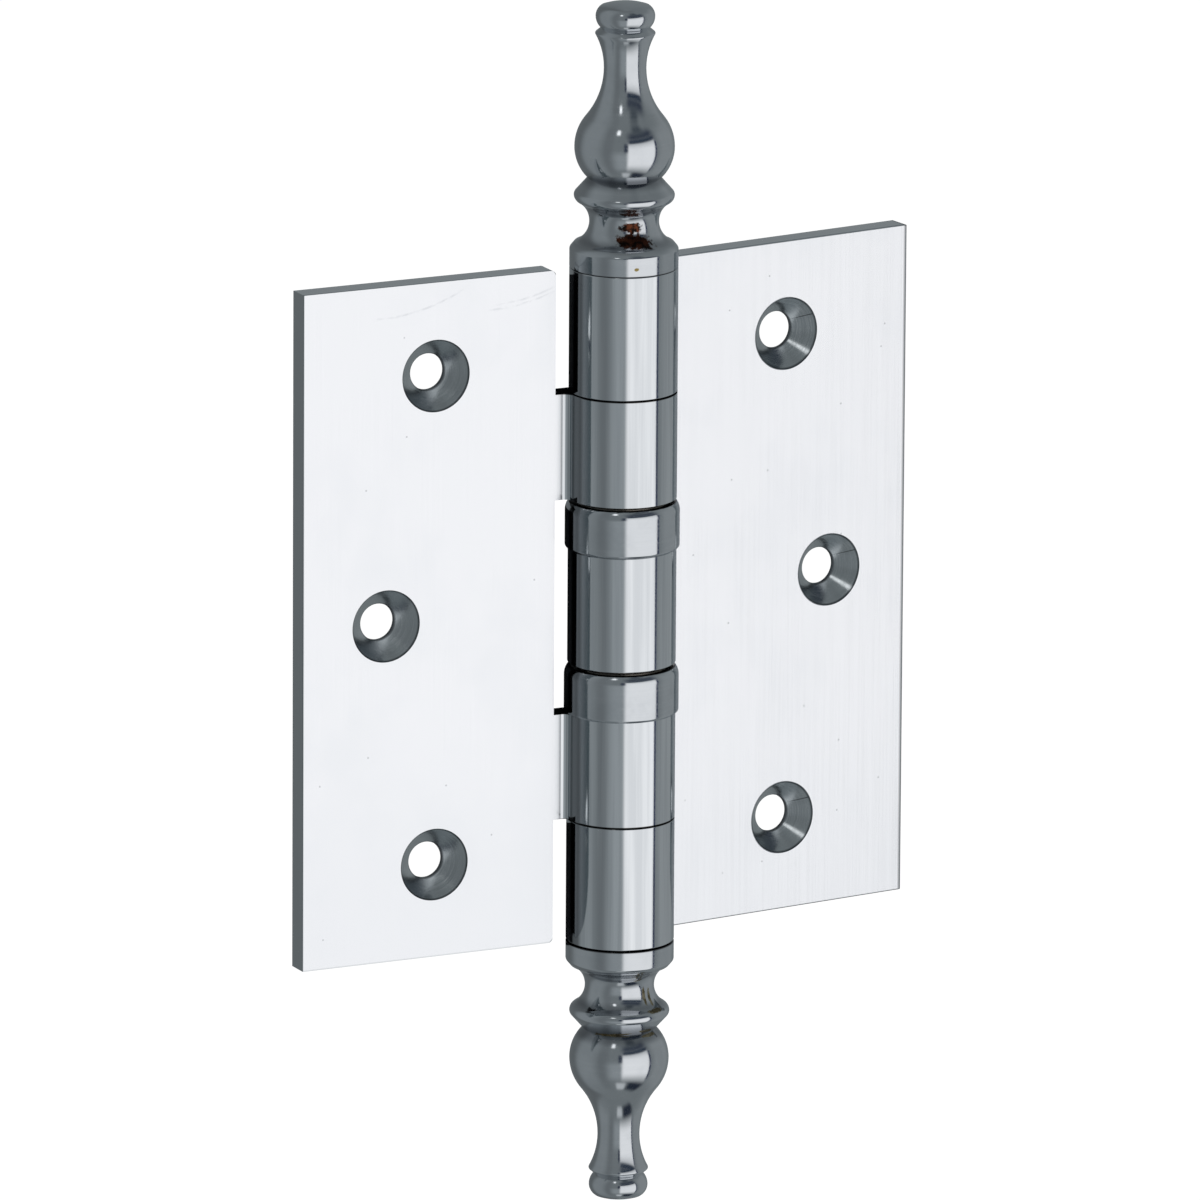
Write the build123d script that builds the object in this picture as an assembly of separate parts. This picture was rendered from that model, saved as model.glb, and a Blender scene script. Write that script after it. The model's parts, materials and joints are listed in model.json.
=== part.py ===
from build123d import *
import math
import os

# Ball bearing butt hinge with turned finials, in millimetres.
# The pin stands on the Z axis and the origin is at the middle of the barrel.
# The frame leaf lies along +X, and the screw heads of both leaves face -Y.

# Leaves
leaf_height = 88.9
leaf_reach = 44.45  # from the pin's axis to a leaf's outer edge
leaf_thickness = 3.3
leaf_setback = 1.27  # the screw faces lie this far behind the pin's axis
over_open_angle = 7.2  # the door leaf stands this far past flat, towards +Y
notch_clearance = 1.6  # between a leaf's milled edge and the bearing casings
knuckle_fillet = 1.0  # where the plate runs into the barrel
notch_corner_radius = 0.65  # on the corners that a notch leaves at a leaf's ends

# Screw holes, three staggered in each leaf
screw_hole_diameter = 4.8
screw_land = 0.6  # straight wall left behind the countersink
countersink_angle = 82
end_hole_height_inset = 12.23  # top and bottom holes, from the leaf's ends
end_hole_edge_inset = 18.55  # top and bottom holes, from the leaf's outer edge
middle_hole_edge_inset = 11.63  # middle hole, from the leaf's outer edge

# Barrel, pin and knuckles
barrel_diameter = 14.0
pin_diameter = 8.0
pin_clearance = 0.05  # radial, between the pin and the knuckles' bores
door_knuckle_height = 13.9
middle_knuckle_height = 15.1
knuckle_gap = 0.15  # between an end knuckle and the door knuckle beside it
pin_end_gap = 0.2  # the pin's shoulders stop short of the barrel's ends
stud_diameter = 5.0  # threaded ends of the pin
stud_length = 7.0
stud_chamfer = 0.5
stud_clearance = 0.05
tapped_hole_spare = 0.6  # depth of the finial's hole beyond the stud
drill_point_angle = 118

# Bearings
bearing_height = 6.65  # from the knuckle below to the knuckle above
casing_gap = 0.45  # open gap between a casing and the knuckle above it
casing_proud = 0.4  # the casing's radius over the barrel's
casing_wall = 0.7
casing_lip = 0.8  # thickness of the crimped lip
casing_lip_reach = 0.95  # how far the lip covers the top race
casing_shoulder_drop = 1.3
casing_shoulder_inset = 0.5
casing_foot_chamfer = 0.3
race_bore_clearance = 0.3  # radial, around the pin
race_press_clearance = 0.02  # bottom race in its casing
race_running_clearance = 0.12  # top race in its casing, and under its lip
cage_clearance = 0.3  # radial, to the pin and to the casing
cage_rim = 0.22  # metal left beside a pocket
cage_side_clearance = 0.31  # between the cage and each race
pocket_clearance = 0.04
rolling_clearance = 0.02  # between a ball and a race
balls_in_bearing = 8

# Finial, from its seat on the barrel to its tip
bottom_finial_gap = 0.2  # the bottom finial is screwed on not quite home
collar_height = 3.18
collar_bevel_height = 0.68
collar_bevel_inset = 0.57
cove_height = 5.35
cove_diameter = 8.96
ring_foot_diameter = 11.78
ring_rise = 0.9  # from the cove to the widest part of the ring
ring_diameter = 12.94
ring_crest_height = 0.45  # the rounding above the widest part of the ring
ring_crest_inset = 0.16
bead_slope_height = 1.81  # from the ring's crest to the groove under the bulb
bulb_groove_diameter = 9.4
bulb_rise = 4.02  # from the groove to the widest part of the bulb
bulb_diameter = 12.87
neck_rise = 10.3  # from the widest part of the bulb to the narrowest part of the neck
neck_diameter = 5.44
neck_turn = 0.384  # where the bulb's curve turns into the neck's, along that stretch
lip_rise = 4.57
lip_diameter = 7.82
knob_groove_drop = 0.66
knob_groove_diameter = 6.24
knob_rise = 1.53
knob_diameter = 7.62
knob_shoulder_rise = 1.29
knob_shoulder_diameter = 6.28
knob_crown = 0.53

# Values that follow from those above
barrel_radius = barrel_diameter / 2
pin_radius = pin_diameter / 2
half_height = leaf_height / 2
casing_radius = barrel_radius + casing_proud
casing_bore = casing_radius - casing_wall
casing_height = bearing_height - casing_gap
leaf_inner_edge = casing_radius + notch_clearance
middle_knuckle_top = middle_knuckle_height / 2
door_knuckle_low = middle_knuckle_top + bearing_height
door_knuckle_high = door_knuckle_low + door_knuckle_height
end_knuckle_low = door_knuckle_high + knuckle_gap
race_bore = pin_radius + race_bore_clearance
cage_inner = pin_radius + cage_clearance
cage_outer = casing_bore - cage_clearance
ball_radius = (cage_outer - cage_inner) / 2 - cage_rim - pocket_clearance
ball_track = (cage_outer + cage_inner) / 2
race_thickness = bearing_height / 2 - ball_radius - rolling_clearance
cage_thickness = bearing_height - 2 * race_thickness - 2 * cage_side_clearance


def turned(*outline):
    """A solid of revolution about Z from the lines of a closed outline, as radius and height."""
    edges = [edge for line in outline for edge in line.edges()]
    return revolve(Plane.XZ * make_face(edges), Axis.Z)


def barrel_gaps(knuckles):
    """The stretches of the barrel, from bottom to top, that hold none of these knuckles."""
    ends = [-half_height] + [z for span in sorted(knuckles) for z in span] + [half_height]
    return [(low, high) for low, high in zip(ends[::2], ends[1::2]) if high > low]


def leaf(knuckles):
    """One leaf along +X: an extruded section, milled back between its knuckles and drilled."""
    plate_middle = Pos(leaf_reach / 2, leaf_setback + leaf_thickness / 2)
    section = Circle(barrel_radius) + plate_middle * Rectangle(leaf_reach, leaf_thickness)
    joins = section.vertices().filter_by(lambda v: v.X < barrel_radius and v.Y > leaf_setback / 2)
    section = fillet(joins, knuckle_fillet) - Circle(pin_radius + pin_clearance)
    body = Pos(0, 0, -half_height) * extrude(section, leaf_height)

    cut_depth = 4 * barrel_radius
    for low, high in barrel_gaps(knuckles):
        middle = Pos(leaf_inner_edge - barrel_diameter, 0, (low + high) / 2)
        body -= middle * Box(2 * barrel_diameter, cut_depth, high - low)
    notch_edge = body.faces().filter_by(Plane.YZ).group_by(Axis.X)[0]
    end_corners = [
        edge
        for edge in notch_edge.edges().filter_by(Axis.Y)
        if math.isclose(abs(edge.center().Z), half_height)
    ]
    if end_corners:
        body = fillet(end_corners, notch_corner_radius)

    countersink_depth = leaf_thickness - screw_land
    countersink_spread = countersink_depth * math.tan(math.radians(countersink_angle / 2))
    screw_hole = CounterSinkHole(
        screw_hole_diameter / 2,
        screw_hole_diameter / 2 + countersink_spread,
        2 * leaf_thickness,
        countersink_angle,
    )
    screw_face = Plane((0, leaf_setback, 0), x_dir=(1, 0, 0), z_dir=(0, -1, 0))
    end_hole = half_height - end_hole_height_inset
    for across, up in (
        (leaf_reach - end_hole_edge_inset, end_hole),
        (leaf_reach - middle_hole_edge_inset, 0),
        (leaf_reach - end_hole_edge_inset, -end_hole),
    ):
        body -= screw_face * Pos(across, up) * screw_hole
    return body


def hinge_pin():
    """A turned rod with a chamfered stud at each end."""
    shoulder = half_height - pin_end_gap
    stud = stud_diameter / 2
    end = shoulder + stud_length
    half = [
        (0, end),
        (stud - stud_chamfer, end),
        (stud, end - stud_chamfer),
        (stud, shoulder),
        (pin_radius, shoulder),
    ]
    other_half = [(radius, -height) for radius, height in reversed(half)]
    return turned(Polyline(*half, *other_half, close=True))


def finial():
    """A finial that stands on Z = 0: collar, cove, ring, bulb, neck, lip and knob, with a tapped hole."""
    collar = barrel_radius
    collar_edge = (collar, collar_height - collar_bevel_height)
    cove_low = (collar - collar_bevel_inset, collar_height)
    cove_middle = (cove_diameter / 2, collar_height + cove_height / 2)
    ring_foot = (ring_foot_diameter / 2, collar_height + cove_height)
    ring = (ring_diameter / 2, ring_foot[1] + ring_rise)
    ring_crest = (ring[0] - ring_crest_inset, ring[1] + ring_crest_height)
    bulb_groove = (bulb_groove_diameter / 2, ring_crest[1] + bead_slope_height)
    bulb = (bulb_diameter / 2, bulb_groove[1] + bulb_rise)
    neck = (neck_diameter / 2, bulb[1] + neck_rise)
    turn = tuple(b + neck_turn * (n - b) for b, n in zip(bulb, neck))
    lip = (lip_diameter / 2, neck[1] + lip_rise)
    knob_groove = (knob_groove_diameter / 2, lip[1] + knob_groove_drop)
    knob = (knob_diameter / 2, knob_groove[1] + knob_rise)
    knob_shoulder = (knob_shoulder_diameter / 2, knob[1] + knob_shoulder_rise)
    tip = (0, knob_shoulder[1] + knob_crown)

    hole = stud_diameter / 2 + stud_clearance
    hole_depth = stud_length - pin_end_gap + tapped_hole_spare
    drill_point = (0, hole_depth + hole / math.tan(math.radians(drill_point_angle / 2)))
    return turned(
        Polyline((hole, 0), (collar, 0), collar_edge, cove_low),
        ThreePointArc(cove_low, cove_middle, ring_foot),
        TangentArc(ring, ring_foot, tangent=(0, -1)),
        TangentArc(ring, ring_crest, tangent=(0, 1)),
        Line(ring_crest, bulb_groove),
        TangentArc(bulb, bulb_groove, tangent=(0, -1)),
        TangentArc(bulb, turn, tangent=(0, 1)),
        TangentArc(neck, turn, tangent=(0, -1)),
        TangentArc(neck, lip, tangent=(0, 1)),
        Line(lip, knob_groove),
        TangentArc(knob, knob_groove, tangent=(0, -1)),
        TangentArc(knob, knob_shoulder, tangent=(0, 1)),
        TangentArc(tip, knob_shoulder, tangent=(1, 0)),
        Polyline(tip, drill_point, (hole, hole_depth), (hole, 0)),
    )


def bearing():
    """The pieces of one bearing, standing on Z = 0, by name."""
    lip_bore = casing_bore - casing_lip_reach
    lip_low = casing_height - casing_lip
    shoulder_low = (casing_radius, casing_height - casing_shoulder_drop)
    shoulder_high = (casing_radius - casing_shoulder_inset, casing_height)
    foot = casing_radius - casing_foot_chamfer
    pieces = {}
    pieces["casing"] = turned(
        Polyline((casing_bore, 0), (foot, 0), (casing_radius, casing_foot_chamfer), shoulder_low),
        TangentArc(shoulder_low, shoulder_high, tangent=(0, 1)),
        Polyline(
            shoulder_high,
            (lip_bore, casing_height),
            (lip_bore, lip_low),
            (casing_bore, lip_low),
            (casing_bore, 0),
        ),
    )

    bottom_race_radius = casing_bore - race_press_clearance
    pieces["bottom_race"] = turned(
        Polyline(
            (race_bore, 0),
            (bottom_race_radius, 0),
            (bottom_race_radius, race_thickness),
            (race_bore, race_thickness),
            close=True,
        )
    )

    flange = casing_bore - race_running_clearance
    flange_high = lip_low - race_running_clearance
    hub = lip_bore - race_running_clearance
    flange_low = bearing_height - race_thickness
    pieces["top_race"] = turned(
        Polyline(
            (race_bore, flange_low),
            (flange, flange_low),
            (flange, flange_high),
            (hub, flange_high),
            (hub, bearing_height),
            (race_bore, bearing_height),
            close=True,
        )
    )

    ball_places = Pos(0, 0, bearing_height / 2) * PolarLocations(ball_track, balls_in_bearing)
    cage = Circle(cage_outer) - Circle(cage_inner)
    cage -= PolarLocations(ball_track, balls_in_bearing) * Circle(ball_radius + pocket_clearance)
    cage_low = (bearing_height - cage_thickness) / 2
    pieces["ball_cage"] = Pos(0, 0, cage_low) * extrude(cage, cage_thickness)
    for number, place in enumerate(ball_places, start=1):
        pieces[f"ball_{number}"] = place * Sphere(ball_radius)
    return pieces


# The leaves share the barrel: the frame leaf has the end and middle knuckles, the door leaf the others
frame_knuckles = [
    (-half_height, -end_knuckle_low),
    (-middle_knuckle_top, middle_knuckle_top),
    (end_knuckle_low, half_height),
]
door_knuckles = [
    (-door_knuckle_high, -door_knuckle_low),
    (door_knuckle_low, door_knuckle_high),
]
nodes = {
    "frame_leaf": leaf(frame_knuckles),
    "door_leaf": Rot(0, 0, -over_open_angle) * mirror(leaf(door_knuckles), Plane.YZ),
    "hinge_pin": hinge_pin(),
    "top_finial": Pos(0, 0, half_height) * finial(),
    "bottom_finial": Pos(0, 0, -half_height - bottom_finial_gap) * Rot(180, 0, 0) * finial(),
}

# One bearing stands on the middle knuckle, the other on the lower door knuckle
bearing_seats = {"upper": middle_knuckle_top, "lower": -door_knuckle_low}
for level, seat in bearing_seats.items():
    for piece, solid in bearing().items():
        nodes[f"{level}_{piece}"] = Pos(0, 0, seat) * solid

os.makedirs("parts", exist_ok=True)
for name, solid in nodes.items():
    export_step(solid, f"parts/{name}.step")
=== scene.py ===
import json
import math

import bmesh
import bpy
from mathutils import Matrix, Vector


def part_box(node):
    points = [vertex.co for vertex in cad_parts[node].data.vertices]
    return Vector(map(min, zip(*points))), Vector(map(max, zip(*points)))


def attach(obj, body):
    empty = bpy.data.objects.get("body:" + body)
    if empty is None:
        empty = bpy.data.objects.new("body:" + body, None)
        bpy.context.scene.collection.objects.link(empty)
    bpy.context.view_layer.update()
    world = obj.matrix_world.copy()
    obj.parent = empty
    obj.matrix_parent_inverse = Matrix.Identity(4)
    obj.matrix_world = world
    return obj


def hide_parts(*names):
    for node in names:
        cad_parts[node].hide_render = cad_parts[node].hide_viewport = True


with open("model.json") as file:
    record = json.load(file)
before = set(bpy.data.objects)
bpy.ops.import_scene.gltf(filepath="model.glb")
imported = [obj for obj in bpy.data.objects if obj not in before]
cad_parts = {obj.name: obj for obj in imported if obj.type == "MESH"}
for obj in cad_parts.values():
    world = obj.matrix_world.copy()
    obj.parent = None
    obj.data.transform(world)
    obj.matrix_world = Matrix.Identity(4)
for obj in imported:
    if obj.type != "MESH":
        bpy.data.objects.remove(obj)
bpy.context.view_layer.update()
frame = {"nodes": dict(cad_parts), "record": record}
nodes = frame["nodes"]
mounts = {mount["name"]: mount for mount in frame["record"]["mounts"]}

# The hinge pin: a drawn steel rod through all five knuckles, with a threaded stud at each end.
# It is ground to size, so fine lines run round it under a film of oil.


def node(tree, kind, sockets=None, **options):
    """Adds a shader node, sets its options, and fills or links its sockets."""
    made = tree.nodes.new(kind)
    for option, value in options.items():
        setattr(made, option, value)
    for socket, value in (sockets or {}).items():
        if isinstance(value, bpy.types.NodeSocket):
            tree.links.new(value, made.inputs[socket])
        else:
            made.inputs[socket].default_value = value
    return made


def metal(name, colour, roughness):
    """A bare metal of one colour, and the shader that its grain is linked to."""
    material = bpy.data.materials.new(name)
    material.use_nodes = True
    shader = material.node_tree.nodes["Principled BSDF"]
    shader.inputs["Base Color"].default_value = (*colour, 1)
    shader.inputs["Metallic"].default_value = 1
    shader.inputs["Roughness"].default_value = roughness
    return material, shader


def ramp(tree, value, start, end, low=0.0, high=1.0):
    """A soft step from low to high as a value goes from start to end."""
    step = {"Value": value, "From Min": start, "From Max": end, "To Min": low, "To Max": high}
    return node(tree, "ShaderNodeMapRange", step, interpolation_type="SMOOTHSTEP").outputs["Result"]


def turned_place(tree, turn=0.0):
    """The place on the object, turned about the pin to lie along a leaf."""
    place = node(tree, "ShaderNodeTexCoord").outputs["Object"]
    return node(tree, "ShaderNodeMapping", {"Vector": place, "Rotation": (0, 0, turn)}).outputs["Vector"]


def drawn_noise(tree, stretch, turn=0.0):
    """Noise that is drawn out along a tool's path."""
    drawn_out = {0: turned_place(tree, turn), 1: stretch}
    lines = node(tree, "ShaderNodeVectorMath", drawn_out, operation="MULTIPLY")
    look = {"Vector": lines.outputs["Vector"], "Scale": 1, "Detail": 3, "Roughness": 0.6}
    return node(tree, "ShaderNodeTexNoise", look).outputs["Fac"]


def grain(material, shader, stretch, roughness, depth, turn=0.0):
    """Fine machining or brushing, in roughness and relief."""
    tree = material.node_tree
    noise = drawn_noise(tree, stretch, turn)
    tree.links.new(ramp(tree, noise, 0.3, 0.7, *roughness), shader.inputs["Roughness"])
    relief = node(tree, "ShaderNodeBump", {"Height": noise, "Distance": depth, "Strength": 0.5})
    tree.links.new(relief.outputs["Normal"], shader.inputs["Normal"])
    return noise


pin_steel, pin_shader = metal("pin_steel", (0.42, 0.42, 0.43), 0.3)
grain(pin_steel, pin_shader, stretch=(200, 200, 9000), roughness=(0.22, 0.38), depth=0.000004)
nodes["hinge_pin"].data.materials[0] = pin_steel

# The two leaves: one extruded section each, plate and barrel together, of chromed brass.
# Each is milled back between its knuckles, drilled and countersunk for three screws; the plates are
# brushed along the pin and the knuckles are polished bright.

leaf_low, leaf_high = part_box("frame_leaf")
leaf_reach = leaf_high.x
half_height = leaf_high.z
barrel_radius = -leaf_low.x
leaf_back = mounts["frame_leaf_back"]["pos_m"][1]
leaf_thickness = 0.0033
leaf_front = leaf_back - leaf_thickness
door_back_axis = mounts["door_leaf_back"]["axis"]
door_lean = math.atan2(door_back_axis[0], door_back_axis[1])
pin_bore = 0.00405
knuckle_fillet = 0.001
notch_clearance = 0.0016
notch_corner = 0.00065
door_knuckle_height = 0.0139
knuckle_gap = 0.00015
door_knuckle_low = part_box("upper_top_race")[1].z
door_knuckle_high = door_knuckle_low + door_knuckle_height
end_knuckle_low = door_knuckle_high + knuckle_gap
middle_knuckle_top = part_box("upper_casing")[0].z
plate_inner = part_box("upper_casing")[1].x + notch_clearance
screw_radius = mounts["frame_middle_screw"]["dims"]["r_mm"] / 1000
screw_land = mounts["frame_middle_screw"]["dims"]["length_mm"] / 1000
countersink_half_angle = math.radians(41)
end_hole_x = mounts["frame_end_screws"]["pos_m"][0]
end_hole_z = mounts["frame_end_screws"]["dims"]["spacing_y_mm"] / 2000
middle_hole_x = mounts["frame_middle_screw"]["pos_m"][0]
screw_holes = ((end_hole_x, end_hole_z), (middle_hole_x, 0), (end_hole_x, -end_hole_z))
weld = 0.000002
eased_edge = 0.00014
sharp_angle = math.radians(28)
arc_step = math.radians(4)
screw_hole_steps = 72
knuckle_up = Vector((0, 0, 1))
countersink_finish = 1
slot_finish = 2
polish_end = 0.0074
brushing_start = 0.0092
flank_front = -0.0011
flank_back = 0.0013
flank_fade = 0.0009
face_end = leaf_front + 0.0002
wall_start = leaf_front + 0.0004
scuff_half_width = 0.00012
scuff_fade = 0.0003
scuff_taper = 0.003
lower_edge_shade_width = 0.00025
greying_start = -0.012
greying_end = -0.04
grime_half_width = 0.00015
plate_tones = ((0.862, 0.87, 0.892, 1), (0.918, 0.924, 0.944, 1))
plate_grey_tone = (0.82, 0.838, 0.865, 1)
plate_glancing_tint = (0.3, 0.36, 0.38, 1)
speck_grey = (0.3, 0.32, 0.33, 1)
speck_cells_per_metre = 170
speck_reach = 0.028
bare_cells = 0.82
scuff_grey = (0.75, 0.765, 0.79, 1)
barrel_tones = ((0.635, 0.66, 0.684, 1), (0.765, 0.788, 0.81, 1))
barrel_roughness = 0.09
flank_shade_grey = (0.25, 0.262, 0.272, 1)
grime_black = (0.05, 0.047, 0.043, 1)
countersink_tones = ((0.5, 0.53, 0.545, 1), (0.7, 0.73, 0.745, 1))
countersink_rim_shade = (0.16, 0.175, 0.185, 1)
rim_depth = 0.0002
break_through = 0.00012
countersink_fade = 0.00022
drag_black = (0.06, 0.065, 0.07, 1)
drag_slopes = (0.5, 0.53)
slot_shade_tones = ((0.03, 0.031, 0.033, 1), (0.09, 0.092, 0.095, 1))


def line_to(mesh, start, place):
    """Draws an edge from a vertex to a place, and returns the new vertex."""
    end = bmesh.ops.extrude_vert_indiv(mesh, verts=[start])["verts"][0]
    end.co = place
    return end


def arc_to(mesh, start, centre, angle, axis):
    """Carries a vertex round a centre, drawing the arc, and returns its last vertex."""
    made = bmesh.ops.spin(
        mesh,
        geom=[start],
        cent=centre,
        axis=axis,
        angle=angle,
        steps=max(4, round(abs(angle) / arc_step)),
    )
    return [item for item in made["geom_last"] if isinstance(item, bmesh.types.BMVert)][0]


def edges_at(mesh, axis, level, besides=()):
    """The edges that lie in one plane across an axis."""
    return [
        edge
        for edge in mesh.edges
        if edge not in besides and all(abs(vert.co[axis] - level) < weld for vert in edge.verts)
    ]


def ring_edges(mesh, radius, place, steps):
    """A circle's edges, placed by a matrix."""
    ring = bmesh.ops.create_circle(mesh, segments=steps, radius=radius, matrix=place)
    return list({edge for vert in ring["verts"] for edge in vert.link_edges})


def leaf_plate(mesh, spans, corner):
    """The flat plate with its countersunk holes, open where a knuckle grows out of it."""
    corner_x = plate_inner + corner
    start = vert = mesh.verts.new((corner_x, leaf_front, -half_height))
    for x, z in ((leaf_reach, -half_height), (leaf_reach, half_height), (corner_x, half_height)):
        vert = line_to(mesh, vert, (x, leaf_front, z))
    if corner:
        centre = (corner_x, leaf_front, half_height - corner)
        vert = arc_to(mesh, vert, centre, math.pi / 2, (0, -1, 0))
    levels = sorted((z for span in spans for z in span if abs(z) < half_height - weld), reverse=True)
    for z in levels:
        vert = line_to(mesh, vert, (plate_inner, leaf_front, z))
    if corner:
        vert = line_to(mesh, vert, (plate_inner, leaf_front, -half_height + corner))
        centre = (corner_x, leaf_front, -half_height + corner)
        arc_to(mesh, vert, centre, math.pi / 2, (0, -1, 0))
    else:
        line_to(mesh, vert, start.co)
    bmesh.ops.remove_doubles(mesh, verts=mesh.verts[:], dist=weld)
    made = bmesh.ops.extrude_edge_only(mesh, edges=mesh.edges[:])["geom"]
    behind = [item for item in made if isinstance(item, bmesh.types.BMVert)]
    bmesh.ops.translate(mesh, verts=behind, vec=(0, leaf_thickness, 0))
    inner_walls = [
        face
        for face in mesh.faces
        if abs(face.normal.x) > 0.9 and face.calc_center_median().x < plate_inner + weld
    ]
    grown_over = []
    for face in inner_walls:
        face.material_index = slot_finish
        if any(low < face.calc_center_median().z < high for low, high in spans):
            grown_over.append(face)
    bmesh.ops.delete(mesh, geom=grown_over, context="FACES_ONLY")
    land_start = leaf_back - screw_land
    mouth_radius = screw_radius + (land_start - leaf_front) * math.tan(countersink_half_angle)
    rings = ((leaf_front, mouth_radius), (land_start, screw_radius), (leaf_back, screw_radius))
    for x, z in screw_holes:
        rim = []
        for y, radius in rings:
            place = Matrix.Translation((x, y, z)) @ Matrix.Rotation(math.pi / 2, 4, "X")
            ring = ring_edges(mesh, radius, place, screw_hole_steps)
            if rim:
                for face in bmesh.ops.bridge_loops(mesh, edges=rim + ring)["faces"]:
                    face.material_index = countersink_finish
            rim = ring
    for y, facing in ((leaf_front, -1), (leaf_back, 1)):
        rim = edges_at(mesh, 1, y)
        bmesh.ops.triangle_fill(mesh, edges=rim, use_beauty=True, normal=(0, facing, 0))


def leaf_knuckle(mesh, low, high):
    """One knuckle: the barrel's section with its fillets into the plate, extruded and bored."""
    before = set(mesh.edges)
    reach = barrel_radius + knuckle_fillet
    front_rise = leaf_front - knuckle_fillet
    back_rise = leaf_back + knuckle_fillet
    front_centre = Vector((math.sqrt(reach**2 - front_rise**2), front_rise, low))
    back_centre = Vector((math.sqrt(reach**2 - back_rise**2), back_rise, low))
    front_bearing = math.atan2(front_centre.y, front_centre.x)
    back_bearing = math.atan2(back_centre.y, back_centre.x)
    start = mesh.verts.new((plate_inner, leaf_front, low))
    vert = line_to(mesh, start, (front_centre.x, leaf_front, low))
    vert = arc_to(mesh, vert, front_centre, math.pi / 2 + front_bearing, knuckle_up)
    around = front_bearing - back_bearing + 2 * math.pi
    vert = arc_to(mesh, vert, (0, 0, low), -around, knuckle_up)
    vert = arc_to(mesh, vert, back_centre, math.pi / 2 - back_bearing, knuckle_up)
    vert = line_to(mesh, vert, (plate_inner, leaf_back, low))
    line_to(mesh, vert, start.co)
    outline = [edge for edge in mesh.edges if edge not in before]
    bmesh.ops.remove_doubles(mesh, verts=list({v for edge in outline for v in edge.verts}), dist=weld)
    outline = [edge for edge in mesh.edges if edge not in before]
    made = bmesh.ops.extrude_edge_only(mesh, edges=outline)["geom"]
    above = [item for item in made if isinstance(item, bmesh.types.BMVert)]
    bmesh.ops.translate(mesh, verts=above, vec=(0, 0, high - low))
    joined = [
        item
        for item in made
        if isinstance(item, bmesh.types.BMFace) and item.calc_center_median().x > plate_inner - weld
    ]
    bmesh.ops.delete(mesh, geom=joined, context="FACES_ONLY")
    bore_steps = round(2 * math.pi / arc_step)
    rims = [ring_edges(mesh, pin_bore, Matrix.Translation((0, 0, z)), bore_steps) for z in (low, high)]
    milled = bmesh.ops.bridge_loops(mesh, edges=rims[0] + rims[1])["faces"]
    for z, facing in ((low, -1), (high, 1)):
        rim = edges_at(mesh, 2, z, before)
        cap = bmesh.ops.triangle_fill(mesh, edges=rim, use_beauty=True, normal=(0, 0, facing))["geom"]
        if abs(z) < half_height - weld:
            milled += [item for item in cap if isinstance(item, bmesh.types.BMFace)]
    for face in milled:
        face.material_index = slot_finish


def finished_piece(mesh, name, materials, slot, body, *replaced):
    """Welds and eases a mesh, and makes it a piece that rides on a body in place of CAD nodes."""
    bmesh.ops.remove_doubles(mesh, verts=mesh.verts[:], dist=weld)
    bmesh.ops.recalc_face_normals(mesh, faces=mesh.faces[:])
    sharp = [edge for edge in mesh.edges if edge.is_manifold and edge.calc_face_angle() > sharp_angle]
    eased = []
    for edge in sharp:
        upright = [face for face in edge.link_faces if abs(face.normal.z) < 0.5]
        cut = any(face.material_index == slot_finish for face in upright)
        edge.smooth = edge.is_convex and not cut
        if edge.smooth:
            eased.append(edge)
    bmesh.ops.bevel(
        mesh,
        geom=eased,
        offset=eased_edge,
        offset_type="OFFSET",
        affect="EDGES",
        segments=2,
        profile=0.5,
        material=-1,
        clamp_overlap=True,
    )
    for face in mesh.faces:
        face.smooth = True
    data = bpy.data.meshes.new(name)
    mesh.to_mesh(data)
    mesh.free()
    for material in materials:
        data.materials.append(material)
    piece = bpy.data.objects.new(name, data)
    bpy.context.collection.objects.link(piece)
    shading = piece.modifiers.new("even_shading", "WEIGHTED_NORMAL")
    shading.keep_sharp = True
    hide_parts(*replaced)
    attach(piece, body)


def blend(tree, share, start, end):
    """One colour at no share and another at a full share."""
    return node(tree, "ShaderNodeMix", {0: share, 6: start, 7: end}, data_type="RGBA").outputs[2]


def soft_window(tree, value, low, high, soft):
    """One between two limits and nothing outside them, with soft edges."""
    rise = ramp(tree, value, low - soft / 2, low + soft / 2)
    fall = ramp(tree, value, high - soft / 2, high + soft / 2, 1, 0)
    return node(tree, "ShaderNodeMath", {0: rise, 1: fall}, operation="MULTIPLY").outputs[0]


def scuff(tree, place, centre, radius, span):
    """A thin curved scuff on a plate's face, as a share of full wear."""
    parts = node(tree, "ShaderNodeSeparateXYZ", {0: place}).outputs
    flat = node(tree, "ShaderNodeVectorMath", {0: place, 1: (1, 0, 1)}, operation="MULTIPLY")
    ends = {0: flat.outputs["Vector"], 1: centre}
    reach = node(tree, "ShaderNodeVectorMath", ends, operation="DISTANCE").outputs["Value"]
    share = soft_window(tree, reach, radius - scuff_half_width, radius + scuff_half_width, scuff_fade)
    for limit in (
        soft_window(tree, parts["X"], *span, scuff_taper),
        ramp(tree, parts["Y"], wall_start, face_end),
        ramp(tree, drawn_noise(tree, (700, 700, 700)), 0.34, 0.6),
    ):
        share = node(tree, "ShaderNodeMath", {0: share, 1: limit}, operation="MULTIPLY").outputs[0]
    return share


def painted_flank_shade(tree, bright):
    """Painted shade down both sides of the barrel, standing in for the dark reflection of the plate and
    slots beside it.
    """
    depth = node(tree, "ShaderNodeSeparateXYZ", {0: turned_place(tree)}).outputs["Y"]
    flank_shaded = soft_window(tree, depth, flank_front, flank_back, flank_fade)
    return blend(tree, flank_shaded, bright, flank_shade_grey)


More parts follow.
